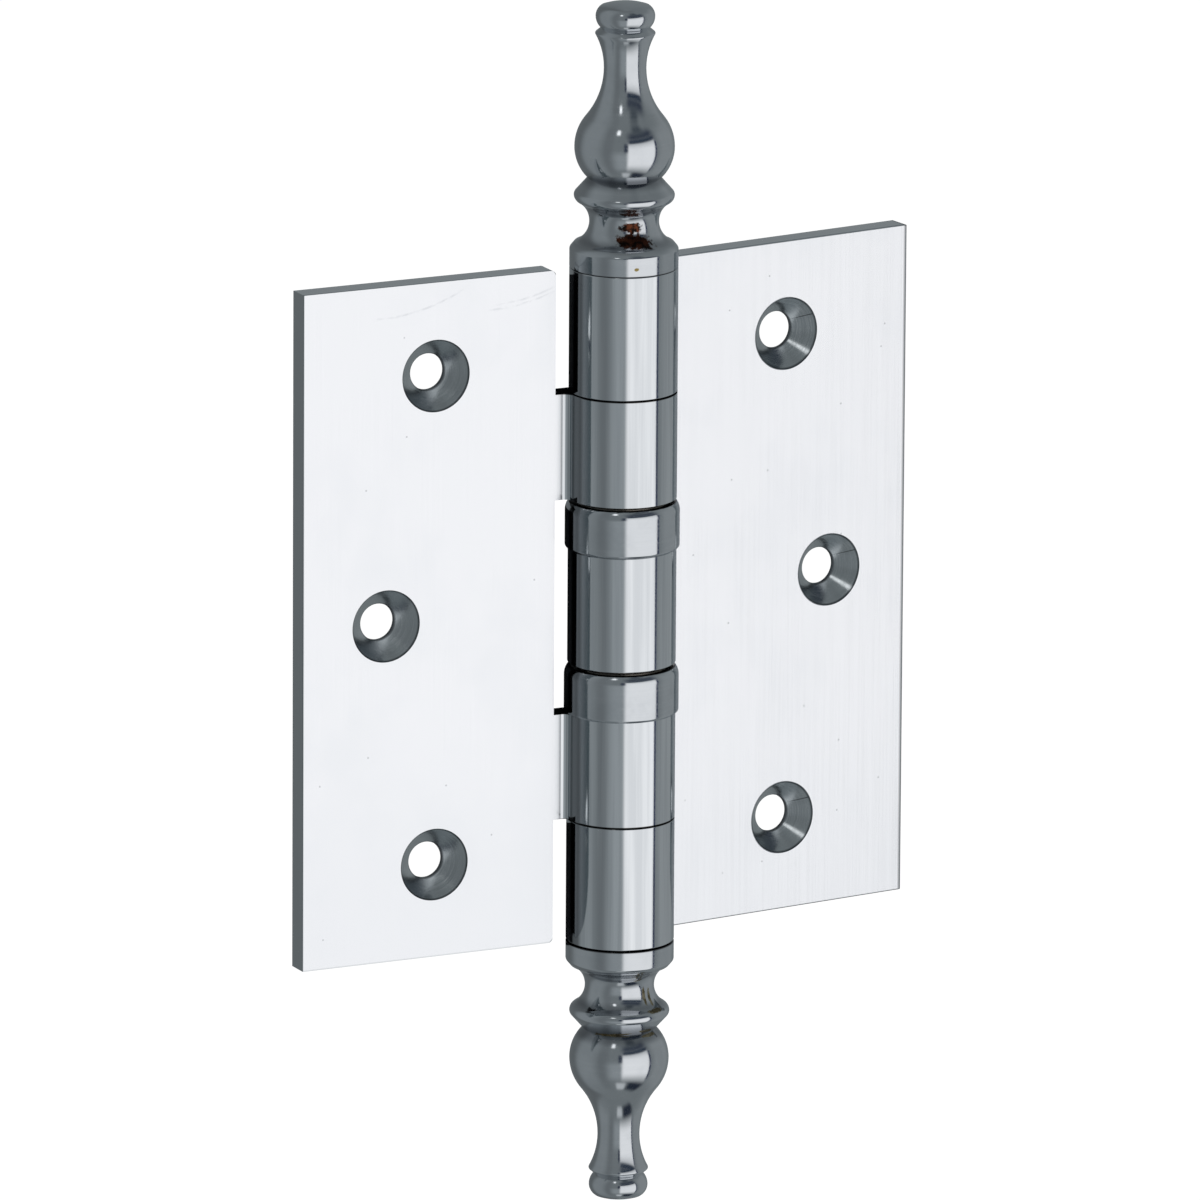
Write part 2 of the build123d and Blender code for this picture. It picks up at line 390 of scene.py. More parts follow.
def leaf_chrome(name, turn, scuffs, edge_shade_width, edge_shade):
    """Polish round the barrel that gives way to vertical brushing on the plate, with painted shade along
    its outer and lower edges.
    """
    material, shader = metal(name, (0.88, 0.89, 0.91), 0.18)
    tree = material.node_tree
    brushing = grain(
        material,
        shader,
        stretch=(5200, 5200, 45),
        roughness=(0.14, 0.21),
        depth=0.0000012,
        turn=turn,
    )
    place = turned_place(tree, turn)
    flat = node(tree, "ShaderNodeVectorMath", {0: place, 1: (1, 1, 0)}, operation="MULTIPLY")
    from_pin = node(tree, "ShaderNodeVectorMath", {0: flat.outputs["Vector"]}, operation="LENGTH")
    on_plate = ramp(tree, from_pin.outputs["Value"], polish_end, brushing_start)
    parts = node(tree, "ShaderNodeSeparateXYZ", {0: place}).outputs
    at_face = ramp(tree, parts["Y"], wall_start, face_end)
    brushed = node(tree, "ShaderNodeMath", {0: on_plate, 1: at_face}, operation="MULTIPLY").outputs[0]
    glancing = blend(tree, brushed, (1, 1, 1, 1), plate_glancing_tint)
    tree.links.new(glancing, shader.inputs["Specular Tint"])
    plate = blend(tree, brushing, *plate_tones)
    clouded = ramp(tree, drawn_noise(tree, (70, 70, 55)), 0.44, 0.7, 0.0, 0.4)
    plate = blend(tree, clouded, plate, plate_grey_tone)
    # the plate is made greyer towards its lower end
    greyer_low = ramp(tree, parts["Z"], greying_start, greying_end, 0.0, 0.4)
    plate = blend(tree, greyer_low, plate, plate_grey_tone)
    on_face = node(tree, "ShaderNodeCombineXYZ", {0: parts["X"], 1: parts["Z"]}).outputs["Vector"]
    scatter = {"Vector": on_face, "Scale": speck_cells_per_metre}
    cells = node(tree, "ShaderNodeTexVoronoi", scatter, voronoi_dimensions="2D")
    dust = ramp(tree, cells.outputs["Distance"], speck_reach, speck_reach / 2)
    pick = node(tree, "ShaderNodeSeparateXYZ", {0: cells.outputs["Color"]})
    chosen = ramp(tree, pick.outputs["X"], bare_cells, bare_cells + 0.02, 0.0, 0.45)
    specks = node(tree, "ShaderNodeMath", {0: dust, 1: chosen}, operation="MULTIPLY")
    plate = blend(tree, specks.outputs[0], plate, speck_grey)
    for mark in scuffs:
        plate = blend(tree, scuff(tree, place, *mark), plate, scuff_grey)
    # painted shade: a darker band along the plate's outer and lower edges
    reach = node(tree, "ShaderNodeMath", {0: parts["X"]}, operation="ABSOLUTE").outputs[0]
    outer_edge = ramp(tree, reach, leaf_reach - edge_shade_width, leaf_reach - edge_shade_width / 4)
    lower_edge = ramp(tree, parts["Z"], -half_height + lower_edge_shade_width, -half_height + lower_edge_shade_width / 5)
    edges = node(tree, "ShaderNodeMath", {0: outer_edge, 1: lower_edge}, operation="MAXIMUM").outputs[0]
    plate = blend(tree, edges, plate, edge_shade)
    streaks = ramp(tree, drawn_noise(tree, (650, 650, 16), turn), 0.36, 0.64)
    barrel = blend(tree, streaks, *barrel_tones)
    from_middle = node(tree, "ShaderNodeMath", {0: parts["Z"]}, operation="ABSOLUTE").outputs[0]
    joint = (door_knuckle_high + end_knuckle_low) / 2
    grime = soft_window(tree, from_middle, joint - grime_half_width, joint + grime_half_width, 0.0001)
    barrel = blend(tree, grime, barrel, grime_black)
    # painted shade down the barrel's sides
    barrel = painted_flank_shade(tree, barrel)
    tree.links.new(blend(tree, on_plate, barrel, plate), shader.inputs["Base Color"])
    plate_roughness = shader.inputs["Roughness"].links[0].from_socket
    finish = {0: on_plate, 2: barrel_roughness, 3: plate_roughness}
    polish = node(tree, "ShaderNodeMix", finish, data_type="FLOAT")
    tree.links.new(polish.outputs[0], shader.inputs["Roughness"])
    return material


def countersink_chrome(name, turn, dragged):
    """Turned rings down the cone of a screw hole, with painted shade at its rim and where it breaks
    through.
    """
    material, shader = metal(name, (0.6, 0.63, 0.645), 0.2)
    tree = material.node_tree
    rings = grain(
        material,
        shader,
        stretch=(150, 9000, 150),
        roughness=(0.13, 0.24),
        depth=0.000002,
        turn=turn,
    )
    parts = node(tree, "ShaderNodeSeparateXYZ", {0: turned_place(tree, turn)}).outputs
    # painted shade: the cone darkens at its rim and where it meets the bore
    cone_end = leaf_back - screw_land
    unshaded_limits = (leaf_front + rim_depth, cone_end - break_through)
    unshaded = soft_window(tree, parts["Y"], *unshaded_limits, countersink_fade)
    turned = blend(tree, rings, *countersink_tones)
    if dragged:
        # a thin line where the cutter was lifted out, at the same side of each hole
        from_middle = node(tree, "ShaderNodeMath", {0: parts["Z"]}, operation="ABSOLUTE").outputs[0]
        halfway = end_hole_z / 2
        middle_x = ramp(tree, from_middle, halfway, halfway + 0.001, middle_hole_x, end_hole_x)
        x = node(tree, "ShaderNodeMath", {0: parts["X"], 1: middle_x}, operation="SUBTRACT").outputs[0]
        wrapped = {0: parts["Z"], 1: halfway, 2: -halfway}
        z = node(tree, "ShaderNodeMath", wrapped, operation="WRAP").outputs[0]
        slope = node(tree, "ShaderNodeMath", {0: z, 1: x}, operation="DIVIDE").outputs[0]
        line = soft_window(tree, slope, *drag_slopes, 0.03)
        right_side = ramp(tree, x, screw_radius * 0.6, screw_radius * 1.4)
        drag = node(tree, "ShaderNodeMath", {0: line, 1: right_side}, operation="MULTIPLY").outputs[0]
        turned = blend(tree, drag, turned, drag_black)
    tree.links.new(blend(tree, unshaded, countersink_rim_shade, turned), shader.inputs["Base Color"])
    return material


def shaded_milled_metal(name):
    """The dull floor of a slot with the cutter's marks across it, painted nearly black as the shade
    inside the slots.
    """
    material, shader = metal(name, (0.055, 0.057, 0.06), 0.4)
    tree = material.node_tree
    marks = grain(material, shader, stretch=(700, 700, 4200), roughness=(0.3, 0.5), depth=0.000004)
    tree.links.new(blend(tree, marks, *slot_shade_tones), shader.inputs["Base Color"])
    return material


leaf_spans = {
    "frame": (
        (-half_height, -end_knuckle_low),
        (-middle_knuckle_top, middle_knuckle_top),
        (end_knuckle_low, half_height),
    ),
    "door": ((-door_knuckle_high, -door_knuckle_low), (door_knuckle_low, door_knuckle_high)),
}
door_scuffs = (
    ((-0.0337, 0, 0.0658), 0.0254, (-0.0337, -0.0224)),
    ((-0.0183, 0, 0.06645), 0.0263, (-0.0183, -0.0098)),
    ((-0.0183, 0, 0.06645), 0.02575, (-0.0166, -0.0096)),
)
# the scuffs on a plate, the width of the painted shade along its outer edge, and the shade's colour
leaf_wear_and_edge_shade = {
    "frame": ((), 0.0006, (0.22, 0.232, 0.243, 1)),
    "door": (door_scuffs, 0.00014, (0.68, 0.7, 0.715, 1)),
}
# the slot walls, inner caps and bore are dull milled metal, painted near black as shade
slot_metal = shaded_milled_metal("slot_metal")
for body, spans in leaf_spans.items():
    mesh = bmesh.new()
    leaf_plate(mesh, spans, corner=notch_corner if body == "door" else 0)
    for low, high in spans:
        leaf_knuckle(mesh, low, high)
    turn = 0.0
    if body == "door":
        turn = door_lean
        over_open = Matrix.Rotation(-door_lean, 4, "Z") @ Matrix.Scale(-1, 4, (1, 0, 0))
        bmesh.ops.transform(mesh, matrix=over_open, verts=mesh.verts[:])
    finishes = [
        leaf_chrome(f"{body}_leaf_chrome", turn, *leaf_wear_and_edge_shade[body]),
        countersink_chrome(f"{body}_countersink_chrome", turn, dragged=body == "frame"),
        slot_metal,
    ]
    finished_piece(mesh, f"chrome_{body}_leaf", finishes, "polished_chrome", body, f"{body}_leaf")

# The ball bearings: each is a crimped and chromed casing that holds a ring of caged balls between two
# hardened races. One stands on the middle knuckle and one on the lower door knuckle.

casing_foot_chamfer = 0.0003
casing_wall = 0.0007
casing_lip = 0.0008
casing_lip_reach = 0.00095
casing_shoulder_drop = 0.0013
casing_shoulder_inset = 0.0005
casing_oil_shade_low = 0.00003
casing_oil_shade_high = 0.00014
turned_tones = ((0.62, 0.643, 0.668, 1), (0.68, 0.703, 0.728, 1))
handled_grey = (0.565, 0.59, 0.616, 1)
oil_and_shade_black = (0.025, 0.022, 0.02, 1)
turning_steps = 144
turning_axis = Vector((0, -1, 0))


def tangent_centre(at, other, normal):
    """The centre of the arc that runs through both points, with this normal at the first."""
    chord = other - at
    return at + normal * (chord.length_squared / (2 * chord.dot(normal)))


def sweep_between(start, end, centre):
    """The shorter angle from one point to another about a centre, in the turning plane."""
    angles = [math.atan2(point.z - centre.z, point.x - centre.x) for point in (start, end)]
    return (angles[1] - angles[0] + math.pi) % (2 * math.pi) - math.pi


def turned_arc(mesh, vert, end, centre):
    """Draws an arc of a turned piece's outline up to a point."""
    return arc_to(mesh, vert, centre, sweep_between(vert.co, end, centre), turning_axis)


def turn_round(mesh):
    """Spins the outline that has been drawn about the pin's axis."""
    bmesh.ops.remove_doubles(mesh, verts=mesh.verts[:], dist=weld)
    bmesh.ops.spin(
        mesh,
        geom=mesh.verts[:] + mesh.edges[:],
        cent=(0, 0, 0),
        axis=(0, 0, 1),
        angle=2 * math.pi,
        steps=turning_steps,
        use_merge=True,
    )


def turned_chrome(name, joint, unshaded):
    """Plated and polished metal with faint lathe lines, dark from a joint up to a given height: oil
    there, and painted shade of the joint.
    """
    material, shader = metal(name, (0.675, 0.7, 0.72), 0.08)
    tree = material.node_tree
    lines = grain(material, shader, stretch=(90, 90, 4200), roughness=(0.08, 0.14), depth=0.0000002)
    plated = blend(tree, lines, *turned_tones)
    handled = ramp(tree, drawn_noise(tree, (260, 260, 260)), 0.42, 0.66, 0.0, 0.5)
    plated = blend(tree, handled, plated, handled_grey)
    height = node(tree, "ShaderNodeSeparateXYZ", {0: turned_place(tree)}).outputs["Z"]
    oiled_and_shaded = blend(tree, ramp(tree, height, joint, unshaded), oil_and_shade_black, plated)
    tree.links.new(oiled_and_shaded, shader.inputs["Base Color"])
    return material, shader


race_steel, race_shader = metal("race_steel", (0.4, 0.37, 0.33), 0.25)
grain(race_steel, race_shader, stretch=(400, 400, 8000), roughness=(0.18, 0.4), depth=0.000004)
cage_brass, cage_shader = metal("cage_brass", (0.72, 0.52, 0.24), 0.32)
grain(cage_brass, cage_shader, stretch=(2500, 2500, 2500), roughness=(0.25, 0.42), depth=0.000006)
ball_steel, ball_shader = metal("ball_steel", (0.6, 0.6, 0.61), 0.08)
grain(ball_steel, ball_shader, stretch=(3000, 3000, 3000), roughness=(0.05, 0.12), depth=0.0000008)

for level, body in (("upper", "frame"), ("lower", "door")):
    low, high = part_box(f"{level}_casing")
    outer = high.x
    bore = outer - casing_wall
    lip_bore = bore - casing_lip_reach
    shoulder = Vector((outer, 0, high.z - casing_shoulder_drop))
    crest = Vector((outer - casing_shoulder_inset, 0, high.z))
    mesh = bmesh.new()
    vert = mesh.verts.new((bore, 0, low.z))
    vert = line_to(mesh, vert, (outer - casing_foot_chamfer, 0, low.z))
    vert = line_to(mesh, vert, (outer, 0, low.z + casing_foot_chamfer))
    vert = line_to(mesh, vert, shoulder)
    vert = turned_arc(mesh, vert, crest, tangent_centre(shoulder, crest, Vector((1, 0, 0))))
    for radius, height in (
        (lip_bore, high.z),
        (lip_bore, high.z - casing_lip),
        (bore, high.z - casing_lip),
        (bore, low.z),
    ):
        vert = line_to(mesh, vert, (radius, 0, height))
    turn_round(mesh)
    casing = f"{level}_casing"
    # the casing's top, in the gap under the knuckle, is dark with oil and painted shade
    oil = (high.z - casing_oil_shade_low, high.z - casing_oil_shade_high)
    casing_chrome, casing_shader = turned_chrome(f"{casing}_chrome", *oil)
    tree = casing_chrome.node_tree
    bright = casing_shader.inputs["Base Color"].links[0].from_socket
    # the same painted shade down the casing's sides as on the barrel
    tree.links.new(painted_flank_shade(tree, bright), casing_shader.inputs["Base Color"])
    finished_piece(mesh, f"chrome_{casing}", [casing_chrome], "polished_chrome", body, casing)

for name, cad_node in nodes.items():
    if name.endswith("_race"):
        cad_node.data.materials[0] = race_steel
    elif name.endswith("_ball_cage"):
        cad_node.data.materials[0] = cage_brass
    elif "_ball_" in name:
        cad_node.data.materials[0] = ball_steel

# The finials: two turned and plated brass knobs, screwed on the pin's studs at both ends of the barrel.
# From the seat they have a collar, a cove, a ring, a bulb, a slim neck, a lip and a small knob.

collar_height = 0.00318
collar_bevel_height = 0.00068
collar_bevel_inset = 0.00057
cove_radius = 0.00448
ring_foot = Vector((0.00589, 0, 0.00853))
ring = Vector((0.00647, 0, 0.00943))
ring_crest = Vector((0.00631, 0, 0.00988))
bulb_groove = Vector((0.0047, 0, 0.01169))
bulb = Vector((0.006435, 0, 0.01571))
neck = Vector((0.00272, 0, 0.02601))
neck_turn = 0.384
lip = Vector((0.00391, 0, 0.03058))
knob_groove = Vector((0.00312, 0, 0.03124))
knob = Vector((0.00381, 0, 0.03277))
knob_shoulder = Vector((0.00314, 0, 0.03406))
tapped_radius = 0.00255
tapped_depth = 0.0074
drill_point_half_angle = math.radians(59)
seat_oil_shade = 0.00022
spot_roughness = 0.4
groove_shade_grey = (0.35, 0.366, 0.388, 1)
# heights from the seat that get painted shade, and the softness of each band's edges
shaded_heights = (
    (0.0033, 0.004, 0.0013),
    (0.0077, 0.0085, 0.0011),
    (0.0111, 0.0127, 0.001),
)
outward = Vector((1, 0, 0))
upward = Vector((0, 0, 1))


def circle_centre(a, b, c):
    """The centre of the circle through three points of an outline."""
    ab, bc = (a + b) / 2, (b + c) / 2
    across_ab = turning_axis.cross(b - a)
    across_bc = turning_axis.cross(c - b)
    gap = bc - ab
    spread = across_ab.x * across_bc.z - across_ab.z * across_bc.x
    return ab + across_ab * ((gap.x * across_bc.z - gap.z * across_bc.x) / spread)


def finial_mesh(seat, tip_height, direction):
    """A finial that stands on its seat, pointing up or down."""
    tip = Vector((0, 0, tip_height))
    collar_edge = Vector((barrel_radius, 0, collar_height - collar_bevel_height))
    cove_low = Vector((barrel_radius - collar_bevel_inset, 0, collar_height))
    cove_middle = Vector((cove_radius, 0, (collar_height + ring_foot.z) / 2))
    neck_start = bulb.lerp(neck, neck_turn)
    drill_point = tapped_depth + tapped_radius / math.tan(drill_point_half_angle)
    mesh = bmesh.new()
    vert = mesh.verts.new((0, 0, drill_point))
    for place in (
        (tapped_radius, 0, tapped_depth),
        (tapped_radius, 0, 0),
        (barrel_radius, 0, 0),
        collar_edge,
        cove_low,
    ):
        vert = line_to(mesh, vert, place)
    vert = turned_arc(mesh, vert, ring_foot, circle_centre(cove_low, cove_middle, ring_foot))
    vert = turned_arc(mesh, vert, ring, tangent_centre(ring, ring_foot, outward))
    vert = turned_arc(mesh, vert, ring_crest, tangent_centre(ring, ring_crest, outward))
    vert = line_to(mesh, vert, bulb_groove)
    vert = turned_arc(mesh, vert, bulb, tangent_centre(bulb, bulb_groove, outward))
    vert = turned_arc(mesh, vert, neck_start, tangent_centre(bulb, neck_start, outward))
    vert = turned_arc(mesh, vert, neck, tangent_centre(neck, neck_start, outward))
    vert = turned_arc(mesh, vert, lip, tangent_centre(neck, lip, outward))
    vert = line_to(mesh, vert, knob_groove)
    vert = turned_arc(mesh, vert, knob, tangent_centre(knob, knob_groove, outward))
    vert = turned_arc(mesh, vert, knob_shoulder, tangent_centre(knob, knob_shoulder, outward))
    turned_arc(mesh, vert, tip, tangent_centre(tip, knob_shoulder, upward))
    turn_round(mesh)
    stand = Matrix.Translation((0, 0, seat)) @ Matrix.Scale(direction, 4, upward)
    bmesh.ops.transform(mesh, matrix=stand, verts=mesh.verts[:])
    return mesh


def tarnish(material, shader, centre, bearing, slope, half_sizes, pale, deep):
    """An uneven spot where the plating has gone: dull, and from one colour to another."""
    tree = material.node_tree
    place = node(tree, "ShaderNodeTexCoord").outputs["Object"]
    spot = node(
        tree,
        "ShaderNodeMapping",
        {"Vector": place, "Location": centre, "Rotation": (0, slope, bearing), "Scale": half_sizes},
        vector_type="TEXTURE",
    )
    reach = node(tree, "ShaderNodeVectorMath", {0: spot.outputs["Vector"]}, operation="LENGTH")
    wander = {0: drawn_noise(tree, (1700, 1700, 1700)), 1: 1.3, 2: reach.outputs["Value"]}
    edge = node(tree, "ShaderNodeMath", wander, operation="MULTIPLY_ADD").outputs[0]
    share = ramp(tree, edge, 1.75, 1.45)
    tone = blend(tree, ramp(tree, drawn_noise(tree, (1100, 1100, 1100)), 0.4, 0.6), pale, deep)
    bright = shader.inputs["Base Color"].links[0].from_socket
    tree.links.new(blend(tree, share, bright, tone), shader.inputs["Base Color"])
    polish = shader.inputs["Roughness"].links[0].from_socket
    dull = node(tree, "ShaderNodeMix", {0: share, 2: polish, 3: spot_roughness}, data_type="FLOAT")
    tree.links.new(dull.outputs[0], shader.inputs["Roughness"])


def shade_in_grooves(material, shader, seat, direction):
    """Painted shade in a finial's grooves and under its bulb."""
    tree = material.node_tree
    level = node(tree, "ShaderNodeSeparateXYZ", {0: turned_place(tree)}).outputs["Z"]
    from_seat = {0: level, 1: direction, 2: -direction * seat}
    height = node(tree, "ShaderNodeMath", from_seat, operation="MULTIPLY_ADD").outputs[0]
    tone = shader.inputs["Base Color"].links[0].from_socket
    for low, high, soft in shaded_heights:
        tone = blend(tree, soft_window(tree, height, low, high, soft), tone, groove_shade_grey)
    tree.links.new(tone, shader.inputs["Base Color"])


rust = ((0.14, 0.045, 0.022, 1), (0.012, 0.009, 0.008, 1))
old_rust = ((0.075, 0.025, 0.014, 1), (0.012, 0.008, 0.007, 1))
olive = ((0.34, 0.3, 0.2, 1), (0.17, 0.14, 0.08, 1))
straw = ((0.4, 0.32, 0.12, 1), (0.3, 0.22, 0.08, 1))
spots = {
    "top": (
        ((-0.00165, -0.00435, 0.0504), -0.36, 0.05, (0.0016, 0.0012, 0.0007), *rust),
        ((-0.0012, -0.00445, 0.0484), -0.27, 0.2, (0.0025, 0.0015, 0.00125), *old_rust),
        ((-0.00229, -0.00661, 0.0455), -0.33, 0, (0.0003, 0.0003, 0.00022), *straw),
    ),
    "bottom": (
        ((0.0009, -0.0047, -0.0514), 0.19, 0, (0.00028, 0.0016, 0.0013), *olive),
        ((0.00185, -0.00443, -0.0516), 0.39, 0, (0.00028, 0.0016, 0.0013), *olive),
        ((0.002, -0.00575, -0.0532), 0.33, 0, (0.0015, 0.0007, 0.00026), *olive),
        ((-0.0032, -0.0032, -0.05623), -0.78, -0.06, (0.0025, 0.0012, 0.0002), *olive),
        ((0.00166, -0.00482, -0.05662), 0.33, 0, (0.0015, 0.001, 0.0002), *olive),
    ),
}
for end, direction in (("top", 1), ("bottom", -1)):
    low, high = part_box(f"{end}_finial")
    seat = low.z if direction == 1 else high.z
    mesh = finial_mesh(seat, high.z - low.z, direction)
    # a dark band at the seat: oil and painted shade of the joint
    finish, finial_shader = turned_chrome(f"{end}_finial_chrome", seat, seat + direction * seat_oil_shade)
    shade_in_grooves(finish, finial_shader, seat, direction)
    for spot in spots[end]:
        tarnish(finish, finial_shader, *spot)
    finished_piece(mesh, f"chrome_{end}_finial", [finish], "polished_chrome", "frame", f"{end}_finial")

# The studio: a grey tent with a large white card before the hinge and dark flags round it, and slim
# black strips of painted shade behind the notches, which only the polished metal sees, over a pale
# floor under one soft lamp.

tent_radius = 1.5
floor_level = -0.45
floor_radius = 4.0
floor_glow = 0.72
floor_grey = (0.52, 0.52, 0.52, 1)
tent_floor = floor_level + 0.03
tent_grey = (0.201, 0.223, 0.232, 1)
shade_strip_middle = (-0.0069, 0.0056)
shade_strip_width = 0.0053
shade_strip_drop = 0.0015
notches = (
    (-half_height, -door_knuckle_high),
    (-door_knuckle_low, door_knuckle_low),
    (door_knuckle_high, half_height),
)


def tent_cloth():
    """The tent's glow by direction: azimuth from the front towards the right, and elevation."""
    material = bpy.data.materials.new("studio_tent")
    material.use_nodes = True
    material.cycles.emission_sampling = "NONE"
    tree = material.node_tree
    tree.nodes.clear()
    place = node(tree, "ShaderNodeTexCoord").outputs["Object"]
    direction = node(tree, "ShaderNodeVectorMath", {0: place}, operation="NORMALIZE")
    parts = node(tree, "ShaderNodeSeparateXYZ", {0: direction.outputs["Vector"]})
    to_front = node(tree, "ShaderNodeMath", {0: parts.outputs["Y"], 1: -1.0}, operation="MULTIPLY")
    bearing = node(
        tree, "ShaderNodeMath", {0: parts.outputs["X"], 1: to_front.outputs[0]}, operation="ARCTAN2"
    )
    azimuth = node(tree, "ShaderNodeMath", {0: bearing.outputs[0]}, operation="DEGREES").outputs[0]
    around = node(tree, "ShaderNodeMath", {0: azimuth, 1: 360.0}, operation="FLOORED_MODULO").outputs[0]
    rise = node(tree, "ShaderNodeMath", {0: parts.outputs["Z"]}, operation="ARCSINE")
    elevation = node(tree, "ShaderNodeMath", {0: rise.outputs[0]}, operation="DEGREES").outputs[0]
    glow = tent_grey
    for measured, azimuths, elevations, softness, colour in (
        # soft folds in the cloth on both sides
        (azimuth, (-145, -92), (-60, 60), (26, 40), (0.255, 0.28, 0.292, 1)),
        (azimuth, (-82, -60), (-60, 60), (14, 40), (0.178, 0.196, 0.206, 1)),
        (azimuth, (54, 112), (-50, 30), (24, 30), (0.285, 0.308, 0.318, 1)),
        # darker cloth behind
        (around, (158, 206), (-91, 91), (24, 1), (0.14, 0.154, 0.16, 1)),
        # grey roof
        (azimuth, (-181, 181), (74, 91), (1, 18), (0.17, 0.186, 0.193, 1)),
        # lighter cloth left of the card
        (azimuth, (-58, -22), (-46, -2), (30, 20), (0.312, 0.341, 0.356, 1)),
        # dark table edge and a pale spot below the front
        (azimuth, (-6, 46), (-72, -52), (20, 12), (0.022, 0.03, 0.046, 1)),
        (azimuth, (-42, -12), (-72, -55), (12, 10), (0.56, 0.585, 0.6, 1)),
        # small bright window up on the left
        (azimuth, (-55, -45), (40, 51), (6, 6), (1.5, 1.52, 1.53, 1)),
        # the white card, with flags above it, the dark lens at its left and a dark gap at its right
        (azimuth, (-26, 43), (-42, 19), (10, 30), (1.0, 1.005, 1.015, 1)),
        (azimuth, (-24, 44), (26, 44), (24, 20), (0.045, 0.056, 0.08, 1)),
        (azimuth, (-24, 44), (20, 28), (12, 5), (0.03, 0.045, 0.07, 1)),
        (azimuth, (-10, 22), (40, 62), (20, 24), (0.07, 0.085, 0.1, 1)),
        (azimuth, (-34, -25), (0, 20), (5, 8), (0.04, 0.052, 0.08, 1)),
        (azimuth, (41.8, 46.5), (-44, 18), (1.2, 10), (0.02, 0.032, 0.075, 1)),
    ):
        across = soft_window(tree, measured, *azimuths, softness[0])
        upright = soft_window(tree, elevation, *elevations, softness[1])
        share = node(tree, "ShaderNodeMath", {0: across, 1: upright}, operation="MULTIPLY").outputs[0]
        glow = blend(tree, share, glow, colour)
    shine = node(tree, "ShaderNodeEmission", {"Color": glow, "Strength": 1.0})
    node(tree, "ShaderNodeOutputMaterial", {"Surface": shine.outputs["Emission"]})
    return material


def seen_directly(tree):
    """One for rays from the camera, from polished metal and through glass."""
    path = node(tree, "ShaderNodeLightPath").outputs
    mirrored = node(
        tree,
        "ShaderNodeMath",
        {0: path["Is Glossy Ray"], 1: path["Is Transmission Ray"]},
        operation="MAXIMUM",
    )
    either = {0: path["Is Camera Ray"], 1: mirrored.outputs[0]}
    return node(tree, "ShaderNodeMath", either, operation="MAXIMUM").outputs[0]


def stage_piece(mesh, name, material):
    """A piece of the studio that isn't part of the hinge."""
    data = bpy.data.meshes.new(name)
    mesh.to_mesh(data)
    mesh.free()
    data.materials.append(material)
    piece = bpy.data.objects.new(name, data)
    bpy.context.collection.objects.link(piece)
    return piece


mesh = bmesh.new()
bmesh.ops.create_uvsphere(mesh, u_segments=64, v_segments=32, radius=tent_radius)
cut = bmesh.ops.bisect_plane(
    mesh,
    geom=mesh.verts[:] + mesh.edges[:] + mesh.faces[:],
    plane_co=(0, 0, tent_floor),
    plane_no=(0, 0, 1),
    clear_inner=True,
)
hem = [item for item in cut["geom_cut"] if isinstance(item, bmesh.types.BMEdge)]
bmesh.ops.contextual_create(mesh, geom=hem)
tent = stage_piece(mesh, "studio_tent", tent_cloth())

# painted shade: black strips just behind the notches, seen only by the polished metal, dark where the
# slots are shadowed
shade_strip_black = bpy.data.materials.new("black_flag")
shade_strip_black.use_nodes = True
shade_strip_shader = shade_strip_black.node_tree.nodes["Principled BSDF"]
shade_strip_shader.inputs["Base Color"].default_value = (0.016, 0.018, 0.021, 1)
shade_strip_shader.inputs["Roughness"].default_value = 0.9
mesh = bmesh.new()
for low, high in notches:
    middle = Matrix.Translation((*shade_strip_middle, (low + high) / 2 - shade_strip_drop))
    shape = Matrix.Diagonal((shade_strip_width, high - low, 1, 1))
    place = middle @ Matrix.Rotation(math.pi / 2, 4, "X") @ shape
    bmesh.ops.create_grid(mesh, x_segments=1, y_segments=1, size=0.5, matrix=place)
shade_strips = stage_piece(mesh, "black_flag", shade_strip_black)

for mirrored_only in (tent, shade_strips):
    mirrored_only.visible_camera = False
    mirrored_only.visible_diffuse = False
    mirrored_only.visible_transmission = False
    mirrored_only.visible_volume_scatter = False
    mirrored_only.visible_shadow = False

floor_white = bpy.data.materials.new("pale_floor")
floor_white.use_nodes = True
tree = floor_white.node_tree
tree.nodes.clear()
glow = node(tree, "ShaderNodeMath", {0: seen_directly(tree), 1: floor_glow}, operation="MULTIPLY")
lit = node(tree, "ShaderNodeBsdfDiffuse", {"Color": floor_grey})
shine = node(tree, "ShaderNodeEmission", {"Color": (1, 1, 1, 1), "Strength": glow.outputs[0]})
both = node(tree, "ShaderNodeAddShader", {0: lit.outputs[0], 1: shine.outputs[0]})
clear = node(tree, "ShaderNodeBsdfTransparent")
underside = node(tree, "ShaderNodeNewGeometry").outputs["Backfacing"]
one_way = node(tree, "ShaderNodeMixShader", {0: underside, 1: both.outputs[0], 2: clear.outputs[0]})
node(tree, "ShaderNodeOutputMaterial", {"Surface": one_way.outputs[0]})
mesh = bmesh.new()
level = Matrix.Translation((0, 0, floor_level))
bmesh.ops.create_circle(mesh, cap_ends=True, segments=96, radius=floor_radius, matrix=level)
stage_piece(mesh, "pale_floor", floor_white)

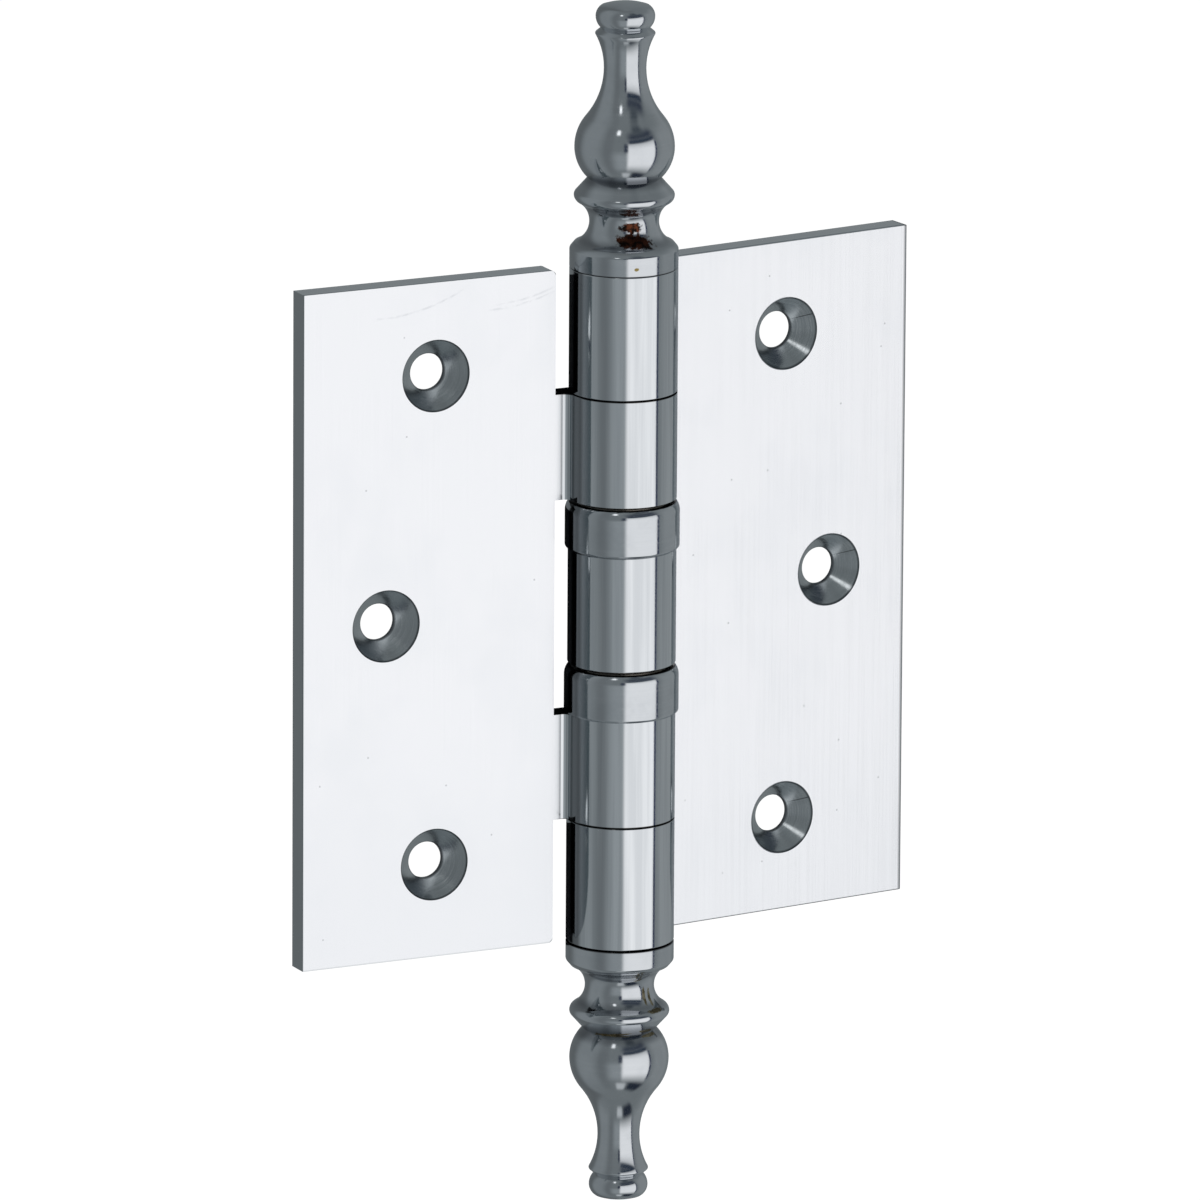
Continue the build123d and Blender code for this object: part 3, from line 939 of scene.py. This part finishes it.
lamp_data = bpy.data.lights.new("soft_lamp", "AREA")
lamp_data.shape = "DISK"
lamp_data.size = 1.4
lamp_data.energy = 14
lamp = bpy.data.objects.new("soft_lamp", lamp_data)
bpy.context.collection.objects.link(lamp)
lamp.location = (-0.5, -0.7, 1.7)
lamp.rotation_euler = (-lamp.location).to_track_quat("-Z", "Y").to_euler()
lamp.visible_camera = False
lamp.visible_glossy = False

sky = bpy.data.worlds.new("even_sky")
bpy.context.scene.world = sky
sky.use_nodes = True
tree = sky.node_tree
background = tree.nodes["Background"]
background.inputs["Color"].default_value = (1, 1, 1, 1)
sky_light = node(
    tree, "ShaderNodeMapRange", {"Value": seen_directly(tree), "To Min": 0.55, "To Max": 1.0}
)
tree.links.new(sky_light.outputs["Result"], background.inputs["Strength"])

# The camera: a long lens before and to the left of the hinge, a little above its middle.
# Its place and lens put the leaves' corners and screw holes where the photograph has them.

view_azimuth = math.radians(32.932)
view_elevation = math.radians(13.875)
view_roll = math.radians(0.341)
view_distance = 2.3205
image_pixels = 1200
pixels_per_metre = 7778.5
origin_pixel = (621.756, 603.311)
sensor_width = 36

forward = Vector(
    (
        math.sin(view_azimuth) * math.cos(view_elevation),
        math.cos(view_azimuth) * math.cos(view_elevation),
        -math.sin(view_elevation),
    )
)
level_right = Vector((math.cos(view_azimuth), -math.sin(view_azimuth), 0))
right = Matrix.Rotation(-view_roll, 3, forward) @ level_right
up = right.cross(forward)
off_right = (origin_pixel[0] - image_pixels / 2) / pixels_per_metre
off_up = (image_pixels / 2 - origin_pixel[1]) / pixels_per_metre
camera_place = -view_distance * forward - off_right * right - off_up * up
camera_data = bpy.data.cameras.new("photo_camera")
camera_data.sensor_fit = "HORIZONTAL"
camera_data.sensor_width = sensor_width
camera_data.lens = pixels_per_metre * view_distance / image_pixels * sensor_width
camera_data.clip_end = 20
camera = bpy.data.objects.new("photo_camera", camera_data)
bpy.context.collection.objects.link(camera)
camera_turn = Matrix((right, up, -forward)).transposed().to_4x4()
camera.matrix_world = Matrix.Translation(camera_place) @ camera_turn
bpy.context.scene.camera = camera
bpy.context.scene.view_settings.view_transform = "Standard"
